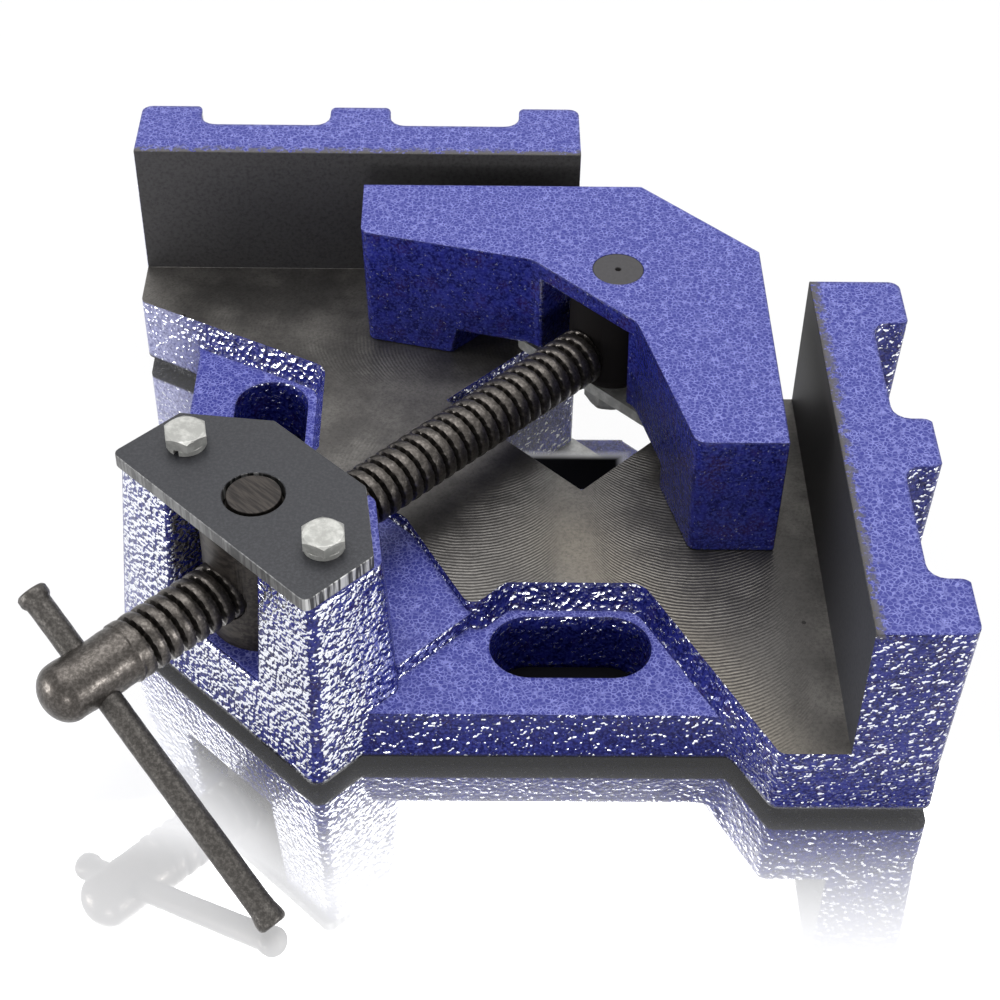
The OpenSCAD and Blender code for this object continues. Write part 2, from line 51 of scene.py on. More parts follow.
# %% [markdown]
# ## Named places
# The origin lies on the floor under the axis on which the screw's nut swivels.
# The two working faces meet on the line X = Y, and the screw lies over it. One
# named place for each feature keeps the finishes and the geometry in step.

# %% Places of the main features
MM = 0.001
CORNER = 204 * MM * math.sqrt(0.5)
DECK_Z = 25 * MM
FOOT_Z = 4 * MM
JAW_TOP_Z = 67 * MM
SCREW_Z = 41.2 * MM
WORK_GAP = 11.6 * MM
PIVOT_X = (204 - 72.8) * MM
SCREW_FRAME = Matrix.Rotation(math.radians(45), 4, "Z")
print("corner of the working faces at", round(CORNER / MM, 1), "mm")

# %% [markdown]
# ## Helpers for meshes
# A mesh becomes a piece when it has an object, a body to ride on and,
# where it stands in for a solid, the name of that solid.


# %% Register a piece
def register(name, mesh, body, replaced=()):
    """Object that rides on a body and may stand in for solids of the clamp."""
    piece = bpy.data.objects.new(name, mesh)
    bpy.context.scene.collection.objects.link(piece)
    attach(piece, body)
    if replaced:
        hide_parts(*replaced)
    print(name, "has", len(mesh.polygons), "faces")
    return piece


# %% [markdown]
# ## Helpers for materials
# A finish is a graph of nodes. This class writes one in the order in which a
# painter thinks: where am I, how high is the grain, what colour, how glossy.
# Everything reads the object's own coordinates, so a finish never slides.


# %% Node graph in a few words
class Graph:
    def __init__(self, name):
        self.material = bpy.data.materials.new(name)
        self.material.use_nodes = True
        self.tree = self.material.node_tree
        self.tree.nodes.clear()
        self.out = self.tree.nodes.new("ShaderNodeOutputMaterial")
        coords = self.tree.nodes.new("ShaderNodeTexCoord")
        self.place = coords.outputs["Object"]
        self.normal = coords.outputs["Normal"]

    def put(self, node, socket, value):
        target = node.inputs[socket]
        if isinstance(value, bpy.types.NodeSocket):
            self.tree.links.new(value, target)
        else:
            target.default_value = value

    def node(self, kind, settings=(), **inputs):
        node = self.tree.nodes.new("ShaderNode" + kind)
        for key, value in dict(settings).items():
            setattr(node, key, value)
        for key, value in inputs.items():
            self.put(node, key.replace("_", " "), value)
        return node

    def math(self, operation, a, b=0.0, c=0.0):
        node = self.node("Math", {"operation": operation})
        for i, value in enumerate((a, b, c)):
            self.put(node, i, value)
        return node.outputs[0]

    def axes(self, vector):
        return self.node("SeparateXYZ", Vector=vector).outputs[:3]

    def vector(self, x, y, z):
        return self.node("CombineXYZ", X=x, Y=y, Z=z).outputs[0]

    def step(self, value, low, high, at_low=0.0, at_high=1.0):
        """Smooth ramp from at_low to at_high as the value goes from low to high."""
        node = self.node("MapRange", {"interpolation_type": "SMOOTHSTEP"}, Value=value)
        ends = {"From Min": low, "From Max": high, "To Min": at_low, "To Max": at_high}
        for key, number in ends.items():
            self.put(node, key, number)
        return node.outputs[0]

    def mix(self, factor, a, b):
        node = self.node("Mix", {"data_type": "RGBA"})
        self.put(node, 0, factor)
        for index, value in ((6, a), (7, b)):
            is_socket = isinstance(value, bpy.types.NodeSocket)
            self.put(node, index, value if is_socket else (*value, 1.0))
        return node.outputs[2]

    def noise(self, scale, detail=3.0, rough=0.55, vector=None):
        node = self.node("TexNoise", Scale=scale, Detail=detail, Roughness=rough)
        self.put(node, "Vector", self.place if vector is None else vector)
        return node.outputs[0]

    def cells(self, scale, feature="F1", vector=None):
        node = self.node("TexVoronoi", {"feature": feature}, Scale=scale)
        self.put(node, "Vector", self.place if vector is None else vector)
        return node.outputs[0]

    def warped(self, scale, amount):
        """The place, moved about by noise, so that cells don't look regular."""
        noise = self.node("TexNoise", Scale=scale, Detail=2.0, Vector=self.place)
        scaled = self.node("VectorMath", {"operation": "SCALE"})
        self.put(scaled, 0, noise.outputs[1])
        self.put(scaled, "Scale", amount)
        added = self.node("VectorMath", {"operation": "ADD"})
        self.put(added, 0, self.place)
        self.put(added, 1, scaled.outputs[0])
        return added.outputs[0]

    def bump(self, height, distance, strength=1.0, below=None):
        node = self.node("Bump", Height=height, Distance=distance, Strength=strength)
        if below is not None:
            self.put(node, "Normal", below)
        return node.outputs[0]

    def shade(self, **inputs):
        shader = self.node("BsdfPrincipled")
        for key, value in inputs.items():
            key = key.replace("_", " ")
            is_colour = isinstance(value, tuple) and len(value) == 3
            self.put(shader, key, (*value, 1.0) if is_colour else value)
        self.tree.links.new(shader.outputs[0], self.out.inputs[0])
        return self.material


# %% [markdown]
# ## Hammered enamel
# Hammer paint draws together as it dries: flat tops show a fine net of pale
# veins round deeper blue cells. On the walls it lies thin over sand-cast iron,
# so they are glossier, and their grains carry painted glints. Their darker blue
# is partly that thin coat and partly painted shade, as the tops take a paler
# copy of the same enamel. One material does both and reads from the surface's
# own direction which of them it is on.
#
# A grain glints where it turns towards the light. A relief that small could be
# bumped, but then each glint would need more samples than a picture has. So the
# glints are painted highlights: the slope towards one fixed direction is worked
# out here, as the height of the sand at two near places, and where it is steep
# the colour turns pale and the coat turns to metal, which also reflects the
# white surroundings and the lamps. Corners are rounded twice: a little in the
# mesh, where there is room, and everywhere in the shading, by a node that
# averages the surface's direction within a radius.

# %% Colours of the enamel
# The wall colours (NAVY, SAND_BLUE, GRAIN_BLUE) are darker than the tops' (VIOLET, VEIN), which is partly
# painted shade.
VIOLET = (0.050, 0.058, 0.335)
VEIN = (0.310, 0.330, 0.780)
NAVY = (0.004, 0.005, 0.080)
GRAIN_BLUE = (0.036, 0.046, 0.270)
SAND_BLUE = (0.018, 0.022, 0.215)
PLUM = (0.024, 0.009, 0.070)
# GLINT is the colour of the painted highlights on the walls' grains.
GLINT = (0.86, 0.88, 0.95)
LAVENDER = (0.400, 0.410, 0.600)
BARE_IRON = (0.120, 0.112, 0.105)
SHADE = (0.003, 0.003, 0.006)


# %% Painted shadow on and near the floor
# Middle X and Y and half lengths along X and Y, in mm: under the right ear,
# the left ear and the front of the deck's slot. There the floor is painted near
# black, a painted shadow, and the enamel's painted shade near the floor is left out.
SHADOW_PATCHES = ((78.4, -0.5, 25.0, 15.5), (-3.0, 82.0, 16.0, 27.0), (81.0, 74.0, 16.0, 13.0))


def outside_shadow_patches(g):
    """Nought in the patches of painted shadow, one elsewhere. A patch is a stretched
    square: the greater of |x - middle| / half length and the same for y is below 1."""
    x, y, _ = g.axes(g.place)
    clear = 1.0
    for centre_x, centre_y, half_x, half_y in SHADOW_PATCHES:
        across = g.math("DIVIDE", g.math("SUBTRACT", x, centre_x * MM), half_x * MM)
        ahead = g.math("DIVIDE", g.math("SUBTRACT", y, centre_y * MM), half_y * MM)
        off = g.math("MAXIMUM", g.math("ABSOLUTE", across), g.math("ABSOLUTE", ahead))
        clear = g.math("MULTIPLY", clear, g.step(off, 0.86, 1.22))
    return clear


# %% Top and wall coats
def vein_net(g):
    """Net of veins: one where a cell of the paint meets its neighbour, falling
    to nought towards the cell's middle, and broken up by a softer noise."""
    edge = g.cells(860.0, "DISTANCE_TO_EDGE", g.warped(700.0, 1.0 * MM))
    net = g.step(edge, 0.0, 0.19, 1.0, 0.0)
    broken = g.step(g.noise(480.0, 2.0), 0.25, 0.70)
    return g.math("MULTIPLY", net, g.math("MULTIPLY_ADD", broken, 0.8, 0.2))


def wall_colour(g):
    """Blue and plum patches with a fine grain, painted shade that darkens them
    towards the floor, and lavender at the clamp's left end, where a window's light lies on it."""
    blue = g.mix(g.step(g.noise(420.0, 3.0), 0.38, 0.68), NAVY, SAND_BLUE)
    patchy = g.mix(g.step(g.noise(170.0, 3.0), 0.50, 0.72, 0.0, 0.7), blue, PLUM)
    x, _, z = g.axes(g.place)
    # Painted shade: the walls darken towards the floor, except in the patches of painted shadow.
    low = g.math("MULTIPLY", g.step(z, 3 * MM, 20 * MM, 0.8, 0.0), outside_shadow_patches(g))
    grain = g.noise(1300.0, 2.0)
    wall = g.mix(g.step(grain, 0.42, 0.64, 0.0, 0.8), g.mix(low, patchy, NAVY), GRAIN_BLUE)
    left_end = g.step(x, -42 * MM, -24 * MM, 0.85, 0.0)
    lit = g.math("MULTIPLY", left_end, g.step(grain, 0.30, 0.60, 0.45, 1.0))
    return g.mix(lit, wall, LAVENDER)


def grain_glints(g, scale, reach, low):
    """Share of painted highlight, pale and metallic, on the grains' sides that face
    one fixed direction, as sunny sides would: the grain's height at the place,
    less its height at the place + reach * (-1/2, 1/2, 1), less low."""
    shifted = g.node("VectorMath", {"operation": "ADD"})
    g.put(shifted, 0, g.place)
    g.put(shifted, 1, (-0.5 * reach, 0.5 * reach, reach))
    rise = g.math("SUBTRACT", g.noise(scale, 1.6, 0.5),
                  g.noise(scale, 1.6, 0.5, shifted.outputs[0]))
    return g.step(g.math("SUBTRACT", rise, low), 0.0, 0.035)


# %% The enamel itself
def enamel(name, grain, depth, edge, glints, worn):
    """Hammered enamel over cast iron. The grain is the sand's scale, depth its
    height and edge the radius of corners, both in metres. glints(g) tells
    where the grains get painted highlights and worn(g) where the iron is bare."""
    g = Graph(name)
    rounded = g.node("Bevel", {"samples": 6}, Radius=edge).outputs[0]
    up = g.step(g.axes(g.normal)[2], 0.74, 0.97)
    top = g.mix(vein_net(g), VIOLET, VEIN)
    # Painted highlights: where the glints are, the walls turn pale and metallic.
    glint = g.math("MULTIPLY", glints(g), g.math("SUBTRACT", 1.0, up))
    # Painted shade in part: walls take the darker wall colours, tops the paler vein colours.
    colour = g.mix(glint, g.mix(up, wall_colour(g), top), GLINT)
    colour = g.mix(worn(g), colour, BARE_IRON)
    height = g.axes(g.place)[2]
    foot = g.step(height, FOOT_Z, FOOT_Z + 1.2 * MM, 0.97, 0.0)
    low = g.math("MULTIPLY", foot, outside_shadow_patches(g))
    colour = g.mix(low, colour, SHADE)
    shine = g.step(height, 3 * MM, 22 * MM, 0.10, 0.27)
    metal = g.math("MULTIPLY", glint, g.math("SUBTRACT", 1.0, low))
    on_wall = g.math("MULTIPLY", g.noise(grain, 1.6, 0.5), g.math("SUBTRACT", 1.05, up))
    sand_bump = g.bump(on_wall, depth, 1.0, rounded)
    hammered = g.cells(700.0, "SMOOTH_F1", g.warped(700.0, 1.0 * MM))
    hammered = g.math("MULTIPLY", hammered, g.math("MULTIPLY_ADD", up, 0.85, 0.15))
    bump = g.bump(hammered, 0.14 * MM, 0.7, sand_bump)
    return g.shade(Base_Color=colour, Normal=bump, Specular_IOR_Level=shine, Metallic=metal,
                   Roughness=g.math("MULTIPLY_ADD", up, 0.16, 0.20))


# %% Where the enamel glints and where it is worn off
SAND = 640.0


def sand_glints(g):
    """Painted highlights, dense on the nut's block, whose walls face between X and Y
    (so |nx ny| is near 1/2), sparse on the other walls, and sparser near the floor."""
    nx, ny, _ = g.axes(g.normal)
    both = g.math("MULTIPLY", g.math("ABSOLUTE", nx), g.math("ABSOLUTE", ny))
    x, y, z = g.axes(g.place)
    near_nut = g.step(g.math("ADD", x, y), 40 * MM, 52 * MM, 1.0, 0.0)
    on_block = g.math("MULTIPLY", g.step(both, 0.30, 0.48), near_nut)
    height = g.step(z, 5 * MM, 24 * MM, 0.050, 0.0)
    low = g.math("ADD", g.math("MULTIPLY_ADD", on_block, -0.105, 0.082), height)
    return grain_glints(g, SAND, 0.40 * MM, low)


def fine_glints(g):
    """Painted highlights: specks of half a millimetre, few and dim."""
    return g.step(g.noise(1150.0, 2.0), 0.665, 0.73, 0.0, 0.30)


def worn_base(g):
    """Bare speckle on the tops of the fixed jaws, thinning out in 6 mm from
    their machined faces."""
    x, y, z = g.axes(g.place)
    from_face = g.math("MINIMUM", g.math("ABSOLUTE", g.math("SUBTRACT", x, CORNER)),
                       g.math("ABSOLUTE", g.math("SUBTRACT", y, CORNER)))
    near = g.step(from_face, 0.0, 6 * MM, 1.0, 0.0)
    high = g.step(z, JAW_TOP_Z - 2 * MM, JAW_TOP_Z - 0.5 * MM)
    speckle = g.step(g.math("MULTIPLY_ADD", near, 0.30, g.noise(620.0, 4.0, 0.7)), 0.66, 0.76)
    return g.math("MULTIPLY", g.math("MULTIPLY", near, high), speckle)


def worn_jaw(g):
    """A few chips where workpieces have knocked the moving jaw."""
    chip = g.step(g.noise(260.0, 5.0, 0.7), 0.70, 0.73)
    return g.math("MULTIPLY", chip, 0.5)


# %% Two coats
PAINT = enamel("hammered_enamel", SAND, 0.7 * MM, 2.2 * MM, sand_glints, worn_base)
JAW_PAINT = enamel("hammered_jaw_enamel", 900.0, 0.30 * MM, 1.2 * MM, fine_glints, worn_jaw)
print("enamels:", PAINT.name, JAW_PAINT.name)

# %% [markdown]
# ## Machined iron
# The deck was faced with a wide cutter that left arcs behind it, one for each
# tooth. An arc is the cutter's own radius, and its middle moves with the feed,
# so one formula gives all of them: sine of (place along the feed plus the
# arc's rise across it). The jaws' faces were ground and have only fine grain.

# %% Milled deck
DECK_DULL = (0.088, 0.083, 0.079)
DECK_WORN = (0.168, 0.159, 0.148)
DECK_TAN = (0.200, 0.178, 0.145)
DECK_GROOVE = (0.030, 0.028, 0.027)
DECK_PIT = (0.012, 0.011, 0.011)
CUTTER_R = 30 * MM
CUTTER_LANE = 51 * MM
TOOTH = 1.10 * MM


def cutter_arcs(g, along, across):
    """sin(2 pi (along + sqrt(R^2 - off^2)) / tooth), where off is the distance
    across from the lane's middle, faded out near the lane's side."""
    off = g.math("PINGPONG", g.math("SUBTRACT", across, CUTTER_LANE), CUTTER_R)
    square = g.math("SUBTRACT", CUTTER_R ** 2, g.math("MULTIPLY", off, off))
    rise = g.math("SQRT", g.math("MAXIMUM", square, 0.0))
    uneven = g.math("MULTIPLY", g.noise(160.0, 2.0), 1.1 * MM)
    run = g.math("ADD", g.math("ADD", along, rise), uneven)
    wave = g.math("SINE", g.math("MULTIPLY", run, 2 * math.pi / TOOTH))
    return g.math("MULTIPLY", wave, g.step(off, 0.70 * CUTTER_R, 0.97 * CUTTER_R, 1.0, 0.0))


def milled():
    """Deck: arcs that fade towards the middle line, where the two lanes meet,
    a painted highlight, a tan sheen, in front of the right jaw, fine grain and a few pits."""
    g = Graph("milled_iron")
    x, y, _ = g.axes(g.place)
    side = g.math("SUBTRACT", x, y)
    right = g.math("MULTIPLY", cutter_arcs(g, y, x), g.step(side, 4 * MM, 22 * MM))
    rear = g.math("MULTIPLY", cutter_arcs(g, x, y), g.step(side, -30 * MM, -8 * MM, 0.35, 0.0))
    wear = g.noise(42.0, 4.0, 0.6)
    marks = g.math("MULTIPLY", g.math("ADD", right, rear), g.step(wear, 0.34, 0.60, 0.25, 1.0))
    grain = g.noise(1300.0, 3.0, 0.7)
    worn = g.mix(g.step(wear, 0.38, 0.66), DECK_DULL, DECK_WORN)
    # Painted highlight: a tan sheen in a band in front of the right jaw.
    from_sheen = g.math("SUBTRACT", g.math("MULTIPLY_ADD", y, 0.58, x), 94 * MM)
    off = g.math("DIVIDE", from_sheen, 15 * MM)
    sheen = g.math("EXPONENT", g.math("MULTIPLY", g.math("MULTIPLY", off, off), -1.0))
    sheen = g.math("MULTIPLY", sheen, g.step(side, 20 * MM, 60 * MM, 0.0, 0.75))
    colour = g.mix(sheen, worn, DECK_TAN)
    colour = g.mix(g.step(grain, 0.35, 0.75, 0.0, 0.5), colour, DECK_GROOVE)
    colour = g.mix(g.step(marks, 0.35, 0.95, 0.0, 0.48), colour, DECK_GROOVE)
    colour = g.mix(g.step(g.cells(70.0), 0.035, 0.05, 0.8, 0.0), colour, DECK_PIT)
    bump = g.bump(marks, 0.07 * MM, 0.7, g.bump(grain, 0.05 * MM, 0.6))
    return g.shade(Base_Color=colour, Metallic=0.7, Normal=bump,
                   Roughness=g.math("MULTIPLY_ADD", wear, 0.22, 0.30))


# %% Ground faces of the jaws
FACE_RIGHT = (0.030, 0.029, 0.031)
FACE_RIGHT_END = (0.066, 0.069, 0.080)
FACE_REAR = (0.058, 0.056, 0.057)
FACE_GRAIN = (0.014, 0.013, 0.014)


def faced():
    """Dark, nearly even face: paler at the right jaw's near end, and paler on the
    faces that look along Y, which is painted light."""
    g = Graph("faced_iron")
    x, y, _ = g.axes(g.place)
    grain = g.noise(900.0, 4.0, 0.7)
    near = g.step(y, -48 * MM, 30 * MM, 0.8, 0.0)
    # Painted light: faces that look along Y take the paler FACE_REAR.
    looks_along_y = g.step(g.math("ABSOLUTE", g.axes(g.normal)[1]), 0.4, 0.6)
    pale = g.mix(looks_along_y, g.mix(near, FACE_RIGHT, FACE_RIGHT_END), FACE_REAR)
    colour = g.mix(g.step(grain, 0.40, 0.72, 0.0, 0.5), pale, FACE_GRAIN)
    return g.shade(Base_Color=colour, Metallic=0.45, Roughness=0.55,
                   Specular_IOR_Level=0.3, Normal=g.bump(grain, 0.06 * MM, 0.6))


# %% Both machined finishes
MILLED = milled()
FACED = faced()
print("machined finishes:", MILLED.name, FACED.name)

# %% [markdown]
# ## Steels, plating and the sheared plate
# Oil keeps the screw dark and rubbing keeps its crests bright. The forged bar
# is scaled all over, the pins are turned, the bolts are plated, and the cover
# plate is black on its face and bright where it was sheared.


# %% Steel with worn places
def steel(name, dark, light, rough, metallic, scale, depth):
    """Two tones split by noise, with fine relief of the given depth."""
    g = Graph(name)
    worn = g.step(g.noise(scale, 5.0, 0.7), 0.40, 0.68)
    height = g.noise(scale * 1.6, 4.0, 0.6)
    return g.shade(Base_Color=g.mix(worn, dark, light), Metallic=metallic,
                   Normal=g.bump(height, depth, 0.8),
                   Roughness=g.math("MULTIPLY_ADD", worn, -0.08, rough + 0.04))


def turned_end(name, dark, light):
    """Pin whose sawn end shows straight scratches across the screw."""
    g = Graph(name)
    x, y, z = g.axes(g.place)
    along = g.math("ADD", x, y)
    across = g.math("SUBTRACT", x, y)
    lines = g.noise(900.0, 3.0, 0.6, g.vector(g.math("MULTIPLY", across, 0.10), along, z))
    return g.shade(Base_Color=g.mix(g.step(lines, 0.38, 0.64), dark, light), Metallic=0.6,
                   Roughness=0.45, Normal=g.bump(lines, 0.05 * MM, 0.6))


# %% Pin with painted shade below its end
# Near black for the painted shade on the pin's side in the hollow.
HOLLOW_SHADE_BLACK = (0.007, 0.006, 0.006)


def pin_shaded_below():
    """Clean steel on the end, with a dark rim and centre mark, and painted shade
    below, where the pin stands in the moving jaw's hollow: near black, dull steel."""
    g = Graph("pin_shaded_below")
    x, y, z = g.axes(g.place)
    off = g.node("VectorMath", {"operation": "DISTANCE"})
    g.put(off, 0, g.vector(x, y, 0.0))
    g.put(off, 1, SCREW_FRAME @ Vector((PIVOT_X, 0, 0)))
    radius = off.outputs["Value"]
    rim = g.step(radius, 11.8 * MM, 12.5 * MM, 1.0, 0.0)
    dimple = g.step(radius, 0.6 * MM, 1.1 * MM)
    # Painted shade: below 58 mm the pin is near black and dull.
    lit_bare_end = g.math("MULTIPLY", g.step(z, 58 * MM, 61 * MM), g.math("MULTIPLY", rim, dimple))
    steel_grey = g.mix(g.noise(900.0, 5.0, 0.7), (0.030, 0.029, 0.031), (0.072, 0.068, 0.073))
    return g.shade(Base_Color=g.mix(lit_bare_end, HOLLOW_SHADE_BLACK, steel_grey), Metallic=0.3,
                   Roughness=g.math("MULTIPLY_ADD", lit_bare_end, -0.2, 0.65),
                   Specular_IOR_Level=g.math("MULTIPLY_ADD", lit_bare_end, 0.4, 0.1))


# %% Sheared edge of the cover plate
def sheared_edge():
    """Upright streaks, strong on the plate's right end and faint elsewhere."""
    g = Graph("sheared_edge")
    x, y, z = g.axes(g.place)
    nx, ny, _ = g.axes(g.normal)
    upright = g.vector(x, y, g.math("MULTIPLY", z, 0.05))
    streak = g.step(g.noise(850.0, 3.0, 0.6, upright), 0.42, 0.60)
    right_end = g.step(g.math("SUBTRACT", nx, ny), 0.5, 1.1, 0.18, 1.0)
    dull = g.mix(g.noise(700.0, 3.0), (0.060, 0.060, 0.062), (0.150, 0.150, 0.148))
    bright = g.mix(streak, (0.050, 0.050, 0.052), (0.60, 0.60, 0.59))
    return g.shade(Base_Color=g.mix(right_end, dull, bright), Metallic=0.6, Roughness=0.45,
                   Normal=g.bump(streak, 0.08 * MM, 0.5))


# %% All the steels
SCREW_STEEL = steel("oily_screw_steel", (0.055, 0.049, 0.044), (0.125, 0.113, 0.103), 0.32, 0.85,
                    1100.0, 0.04 * MM)
BAR_STEEL = steel("forged_bar", (0.050, 0.046, 0.042), (0.120, 0.111, 0.102), 0.38, 0.7,
                  1100.0, 0.12 * MM)
PIN_STEEL = turned_end("turned_pin", (0.016, 0.013, 0.012), (0.046, 0.039, 0.034))
PIVOT_STEEL = pin_shaded_below()
ZINC = steel("bright_zinc", (0.36, 0.36, 0.34), (0.56, 0.56, 0.53), 0.38, 0.6, 300.0, 0.03 * MM)
PLATE_BLACK = steel("black_oxide", (0.020, 0.021, 0.026), (0.038, 0.039, 0.046), 0.45, 0.2,
                    1300.0, 0.03 * MM)
EDGE = sheared_edge()
print("finishes in all:", len(bpy.data.materials))

# %% [markdown]
# ## Castings and plates
# A casting has no sharp edge, because the pattern had to leave the sand. A
# copy of the solid's own mesh is merged and its flat faces are joined again,
# and then a bevel rounds it: wide where paint meets paint, narrow where a
# cutter has been. Subdividing would melt the machined faces, so a weighted
# bevel is the right tool.
#
# A bevel folds over itself where an edge is shorter or a face narrower than
# it needs. Limiting its width by the shortest edge would leave nothing of it,
# so only the edges that have room get a weight, and the shading rounds the
# others. Machined faces are shaded flat, so that no light bends on them.

# %% Round the edges of a copied solid
FLAT_ANGLE = math.radians(0.6)
SHARP_ANGLE = math.radians(24)
LENGTH_NEEDED = 1.5
WIDTH_NEEDED = 0.67


def has_room(edge, soft):
    """True if both ends of the edge meet only long edges and both its faces
    are wide enough (twice the area over the girth) for a bevel of this width."""
    if any(e.calc_length() < LENGTH_NEEDED * soft for v in edge.verts for e in v.link_edges):
        return False
    widths = [2 * f.calc_area() / f.calc_perimeter() for f in edge.link_faces]
    return min(widths) > WIDTH_NEEDED * soft


def rounded_copy(node, soft, crisp, kind):
    """Mesh of a solid whose edges have weights for a bevel of soft or crisp
    width. kind(face) gives a face's material, and 0 is the rough one."""
    bm = bmesh.new()
    bm.from_mesh(NODES[node].data)
    bmesh.ops.remove_doubles(bm, verts=bm.verts, dist=0.001 * MM)
    bmesh.ops.dissolve_limit(bm, angle_limit=FLAT_ANGLE, verts=bm.verts, edges=bm.edges,
                             delimit={"NORMAL"})
    weight = bm.edges.layers.float.new("bevel_weight_edge")
    for face in bm.faces:
        face.material_index = kind(face)
        face.smooth = face.material_index == 0
    for edge in bm.edges:
        sharp = len(edge.link_faces) == 2 and edge.calc_face_angle(0) > SHARP_ANGLE
        edge.smooth = not sharp
        if sharp and has_room(edge, soft):
            plain = all(f.material_index == 0 for f in edge.link_faces)
            edge[weight] = 1.0 if plain else crisp / soft
    mesh = bpy.data.meshes.new(node + "_rounded")
    bm.to_mesh(mesh)
    bm.free()
    return mesh


def softened(name, node, body, soft, crisp, materials, kind=lambda face: 0):
    """Piece that replaces a solid by its rounded copy."""
    mesh = rounded_copy(node, soft, crisp, kind)
    for material in materials:
        mesh.materials.append(material)
    work = bpy.data.objects.new(name + "_work", mesh)
    bpy.context.scene.collection.objects.link(work)
    bevel = work.modifiers.new("soft", "BEVEL")
    bevel.limit_method = "WEIGHT"
    bevel.width = soft
    bevel.segments = 3
    bevel.use_clamp_overlap = False
    bevel.harden_normals = True
    view = work.evaluated_get(bpy.context.evaluated_depsgraph_get())
    done = bpy.data.meshes.new_from_object(view)
    done.name = name
    bpy.data.objects.remove(work)
    return register(name, done, body, (node,))


# %% Which finish a face has
NEAR = 0.3 * MM


def base_kind(face):
    """1 on the deck, 2 on the two fixed working faces, 0 on enamel."""
    centre, normal = face.calc_center_median(), face.normal
    if normal.z > 0.99 and abs(centre.z - DECK_Z) < NEAR:
        return 1
    faces_corner = (normal.y < -0.99 and abs(centre.y - CORNER) < NEAR,
                    normal.x < -0.99 and abs(centre.x - CORNER) < NEAR)
    return 2 if centre.z > DECK_Z and any(faces_corner) else 0


def jaw_kind(face):
    """1 on the moving jaw's two working faces, 0 on enamel."""
    centre, normal = face.calc_center_median(), face.normal
    plane = CORNER - WORK_GAP
    faces_jaw = (normal.y > 0.99 and abs(centre.y - plane) < NEAR,
                 normal.x > 0.99 and abs(centre.x - plane) < NEAR)
    return 1 if any(faces_jaw) else 0


def plate_kind(face):
    """0 on the plate's two faces, 1 round its edge."""
    return 0 if abs(face.normal.z) > 0.5 else 1


# %% The castings and the plates
softened("base", "base_casting", "base", 1.2 * MM, 0.2 * MM,
         (PAINT, MILLED, FACED), base_kind)
softened("sliding_jaw", "moving_jaw", "jaw", 1.3 * MM, 0.35 * MM,
         (JAW_PAINT, FACED), jaw_kind)
softened("yoke_cover", "cover_plate", "base", 0.35 * MM, 0.35 * MM,
         (PLATE_BLACK, EDGE), plate_kind)
softened("keeper", "keeper_plate", "carriage", 0.9 * MM, 0.9 * MM, (ZINC,))

# %% [markdown]
# ## Pins, bolts and washers
# Turned and pressed pieces have small, even edges. They come in a table of
# name, solid, body, slot, edge and finish, so that a loop can make them all.

# %% The small pieces
SMALL_PIECES = [
    ("nut", "swivel_nut", "nut", "dark_steel", 0.30, PIN_STEEL),
    ("pivot", "pivot_pin", "carriage", "dark_steel", 0.25, PIVOT_STEEL),
    ("hanging_bolt", "keeper_bolt", "carriage", "zinc", 0.20, ZINC),
    ("hanging_washer", "keeper_washer", "carriage", "zinc", 0.15, ZINC),
]
for side in ("left", "right"):
    SMALL_PIECES.append(("cap_bolt_" + side, "cover_bolt_" + side, "base", "zinc", 0.20, ZINC))
    SMALL_PIECES.append(("cap_washer_" + side, "cover_washer_" + side, "base", "zinc", 0.15, ZINC))
for name, node, body, slot, edge, finish in SMALL_PIECES:
    softened(name, node, body, edge * MM, edge * MM, (finish,))

dowel = NODES["journal_dowel"]
dowel.data.materials.clear()
dowel.data.materials.append(PIVOT_STEEL)

# %% [markdown]
# ## Lathe
# A turned piece is a grid of points: places along the axis, one way, and
# angles round it, the other. Each point stands off the axis by a radius that
# may depend on both, which is all that a thread needs. Two discs close it.


# %% Surface of a turned piece
def smooth(t):
    """Ramp from 0 to 1 with level ends: three t squared less two t cubed."""
    t = np.clip(t, 0.0, 1.0)
    return t * t * (3 - 2 * t)


def round_angles(turns):
    return np.linspace(0, 2 * np.pi, turns, endpoint=False)[None, :]


def turned_mesh(name, along, radii, axis, side, origin):
    """Closed mesh. Point (i, j) lies at origin + along i on the axis, plus the
    radius (i, j) times the direction at angle j, counted from the side."""
    rows, turns = radii.shape
    angle = round_angles(turns)
    axis, side = np.array(axis), np.array(side)
    third = np.cross(axis, side)
    spoke = np.cos(angle)[..., None] * side + np.sin(angle)[..., None] * third
    xyz = np.array(origin) + along[:, None, None] * axis + radii[..., None] * spoke
    i, j = np.meshgrid(np.arange(rows - 1), np.arange(turns), indexing="ij")
    after = (j + 1) % turns
    here, there = i * turns, (i + 1) * turns
    quads = np.stack([here + j, here + after, there + after, there + j], -1)
    last = (rows - 1) * turns
    discs = [list(range(turns))[::-1], list(range(last, last + turns))]
    mesh = bpy.data.meshes.new(name)
    mesh.from_pydata(xyz.reshape(-1, 3).tolist(), [], quads.reshape(-1, 4).tolist() + discs)
    mesh.polygons.foreach_set("use_smooth", [True] * len(mesh.polygons))
    mesh.set_sharp_from_angle(angle=math.radians(50))
    return mesh


def bare_radii(profile, turns):
    """Places and radii of a plain turned stretch from its list of corners."""
    along, radius = np.array(profile).T
    return along, np.repeat(radius[:, None], turns, 1)


# %% [markdown]
# ## Screw
# Seen along its length a thread is one ridge wound round the core. Its phase
# is the place along the screw in pitches less the angle in turns; near half a
# turn of phase the point is on the crest, elsewhere it sinks into the groove.
# These crests are broad and rubbed round, the grooves narrow and black.

